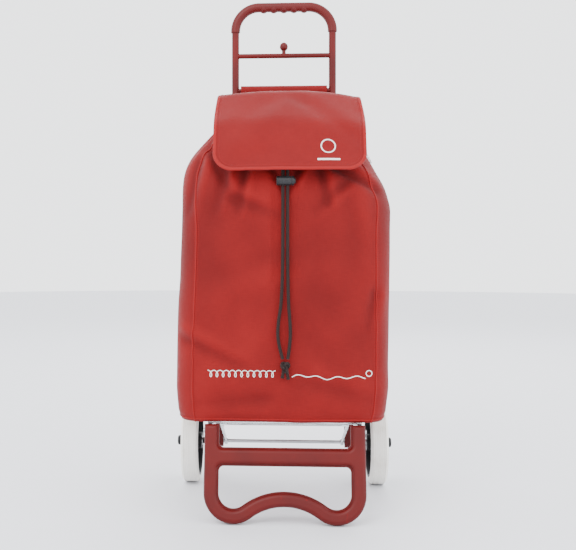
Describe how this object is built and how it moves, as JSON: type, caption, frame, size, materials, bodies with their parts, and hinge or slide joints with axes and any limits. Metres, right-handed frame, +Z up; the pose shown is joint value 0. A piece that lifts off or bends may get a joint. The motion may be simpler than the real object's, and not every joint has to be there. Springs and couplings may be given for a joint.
{
  "type": "shopping trolley",
  "caption": "Two-wheeled shopping trolley: tube handle, drawstring fabric bag with a flap, folding base with a moulded foot.",
  "frame": {"origin": "on the floor, below the middle of the bounding box", "axes": "+Z up; the front, with the flap and the foot, faces -Y; +X is to the right as seen from the front"},
  "size_m": [0.444, 0.396, 1],
  "materials": {
    "frame_paint": "dark red gloss enamel on steel tube, slightly orange-peeled",
    "grip_plastic": "satin moulded plastic grip, dark red",
    "moulded_red": "satin glass-filled moulding, dark red",
    "steel": "bright zinc plated steel",
    "bright_wire": "bright plated wire",
    "black_plastic": "black moulded plastic",
    "tyre_cream": "cream rubber, fine ribs",
    "rim_black": "black moulded wheel centre",
    "bag_fabric": "red coated woven polyester",
    "binding_fabric": "red woven binding tape",
    "cord_fabric": "dark braided cord",
    "label_fabric": "white woven tape",
    "lock_plastic": "black glossy plastic",
    "board": "dark fibre board"
  },
  "bodies": {
    "frame": {"handle_loop": "frame_paint", "handle_grip": "grip_plastic", "cross_rod": "frame_paint", "hanger_rod": "frame_paint", "rear_brace": "frame_paint", "hook_peg": "grip_plastic", "lower_tube_left": "frame_paint", "lower_tube_right": "frame_paint", "tube_spigot_left": "steel", "tube_spigot_right": "steel", "tube_collar_left": "moulded_red", "tube_collar_right": "moulded_red", "joint_rivets": "steel", "axle_bracket_left": "moulded_red", "axle_bracket_right": "moulded_red", "pivot_pins": "steel", "axle": "steel", "axle_spacer_left": "black_plastic", "axle_spacer_right": "black_plastic", "axle_washers": "steel", "axle_cap_left": "black_plastic", "axle_cap_right": "black_plastic", "bag_base": "bag_fabric", "bag_front": "bag_fabric", "bag_rear": "bag_fabric", "bag_side_left": "bag_fabric", "bag_side_right": "bag_fabric", "bag_shoulder_front": "bag_fabric", "bag_shoulder_rear": "bag_fabric", "bag_shoulder_side_left": "bag_fabric", "bag_shoulder_side_right": "bag_fabric", "bag_neck": "bag_fabric", "bag_yoke": "bag_fabric", "neck_eyelet": "steel", "neck_cord": "cord_fabric", "drawstring_left": "cord_fabric", "drawstring_right": "cord_fabric", "drawstring_knot": "cord_fabric", "care_label": "label_fabric"},
    "wheel_left": {"tyre_left": "tyre_cream", "wheel_rim_left": "rim_black", "wheel_bush_left": "black_plastic"},
    "wheel_right": {"tyre_right": "tyre_cream", "wheel_rim_right": "rim_black", "wheel_bush_right": "black_plastic"},
    "base": {"base_arm_left": "bright_wire", "base_arm_right": "bright_wire", "foot_loop": "moulded_red", "foot_screws": "steel", "platform_rods": "bright_wire", "bail_pads": "black_plastic", "base_board": "board"},
    "bail": {"support_bail": "bright_wire"},
    "flap": {"flap": "bag_fabric", "flap_binding": "binding_fabric"},
    "cord_lock": {"cord_lock_barrel": "lock_plastic", "cord_lock_spring": "steel"},
    "lock_button": {"cord_lock_button": "lock_plastic"}
  },
  "joints": [
    {"name": "wheel_left_spin", "type": "hinge", "parent": "frame", "child": "wheel_left", "pos_m": [-0.191, 0.114, 0.084], "axis": [1, 0, 0], "continuous": true},
    {"name": "wheel_right_spin", "type": "hinge", "parent": "frame", "child": "wheel_right", "pos_m": [0.191, 0.114, 0.084], "axis": [1, 0, 0], "continuous": true},
    {"name": "base_fold", "type": "hinge", "parent": "frame", "child": "base", "pos_m": [0, 0.054, 0.157], "axis": [-1, 0, 0], "range_deg": [0, 85], "deforming": ["bag_base", "bag_front", "bag_rear", "bag_side_left", "bag_side_right", "bag_shoulder_front", "bag_shoulder_rear", "bag_shoulder_side_left", "bag_shoulder_side_right", "drawstring_left", "drawstring_right", "drawstring_knot"]},
    {"name": "bail_fold", "type": "hinge", "parent": "frame", "child": "bail", "pos_m": [0, 0.114, 0.084], "axis": [-1, 0, 0], "range_deg": [0, 45]},
    {"name": "flap_open", "type": "hinge", "parent": "frame", "child": "flap", "pos_m": [0, 0.0985, 0.81], "axis": [-1, 0, 0], "range_deg": [0, 93]},
    {"name": "lock_slide", "type": "slide", "parent": "frame", "child": "cord_lock", "axis": [0, 0, -1], "range_m": [0, 0.15]},
    {"name": "lock_press", "type": "slide", "parent": "cord_lock", "child": "lock_button", "axis": [-1, 0, 0], "range_m": [0, 0.0025], "stiffness_N_per_m": 800, "deforming": ["cord_lock_spring"]}
  ],
  "couplings": [
    {"joint": "bail_fold", "follows": "base_fold", "ratio": 0.52}
  ]
}
